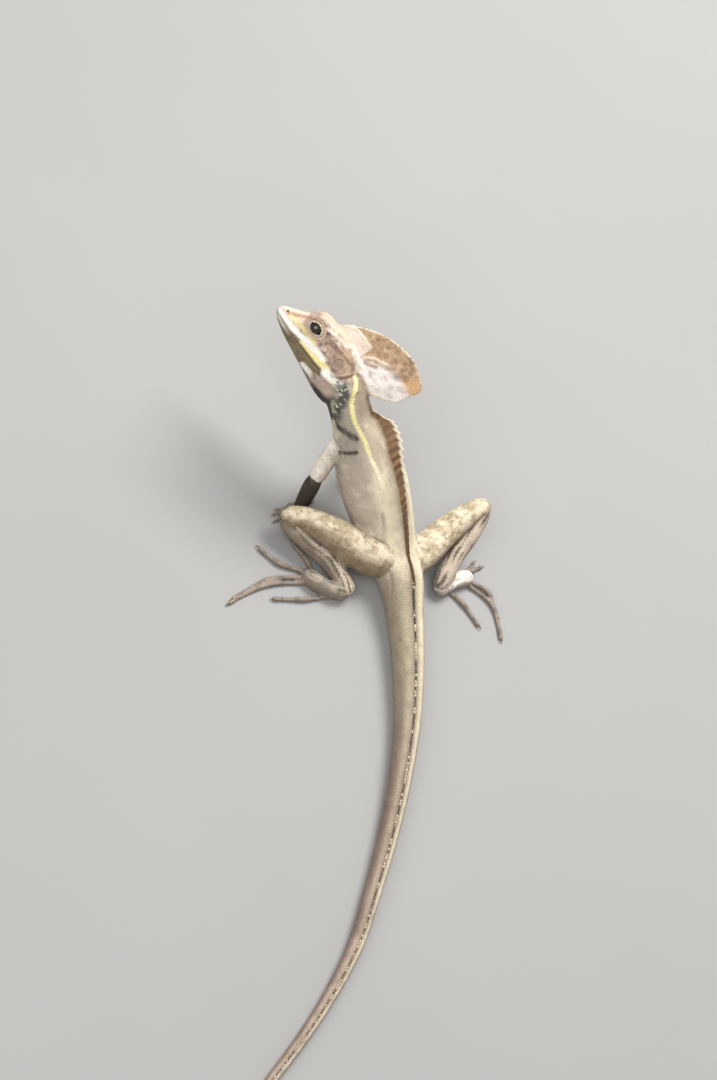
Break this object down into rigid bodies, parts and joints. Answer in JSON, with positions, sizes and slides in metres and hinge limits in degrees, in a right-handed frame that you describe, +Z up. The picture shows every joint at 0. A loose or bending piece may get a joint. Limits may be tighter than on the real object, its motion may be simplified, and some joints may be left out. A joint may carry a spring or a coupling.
{
  "type": "brown basilisk",
  "caption": "Life-size still model of a brown basilisk lizard, propped on its forelegs with head raised and turned, a crest on the head and back, and the long tail laid out.",
  "frame": {"origin": "on the floor under the pelvis, at the small flat where the underside rests", "axes": "+Y the way the body points at the pelvis, with the tail towards -Y; +X the animal's right; +Z up"},
  "size_m": [0.2156, 0.4097, 0.0853],
  "materials": {
    "hide": "small keeled scales, satin",
    "tail": "rings of small keeled scales, satin",
    "leg": "small scales, satin",
    "foot": "small scales and claws, satin",
    "casque": "head shields and scaled skin, satin",
    "crest": "thin scaled web with rays, satin",
    "eye": "wet, dark",
    "ear": "taut smooth membrane"
  },
  "bodies": {
    "root": {"hips": "hide", "belly": "hide", "chest": "hide", "neck": "hide", "lower_jaw": "hide", "tail_1": "tail", "tail_2": "tail", "tail_3": "tail", "tail_4": "tail", "tail_5": "tail", "thigh_left": "leg", "shin_left": "leg", "upper_arm_left": "leg", "forearm_left": "leg", "thigh_right": "leg", "shin_right": "leg", "upper_arm_right": "leg", "forearm_right": "leg", "foot_left": "foot", "hand_left": "foot", "foot_right": "foot", "hand_right": "foot", "head": "casque", "casque": "casque", "back_crest": "crest", "eye_left": "eye", "eye_right": "eye", "ear_left": "ear", "ear_right": "ear"}
  },
  "joints": []
}
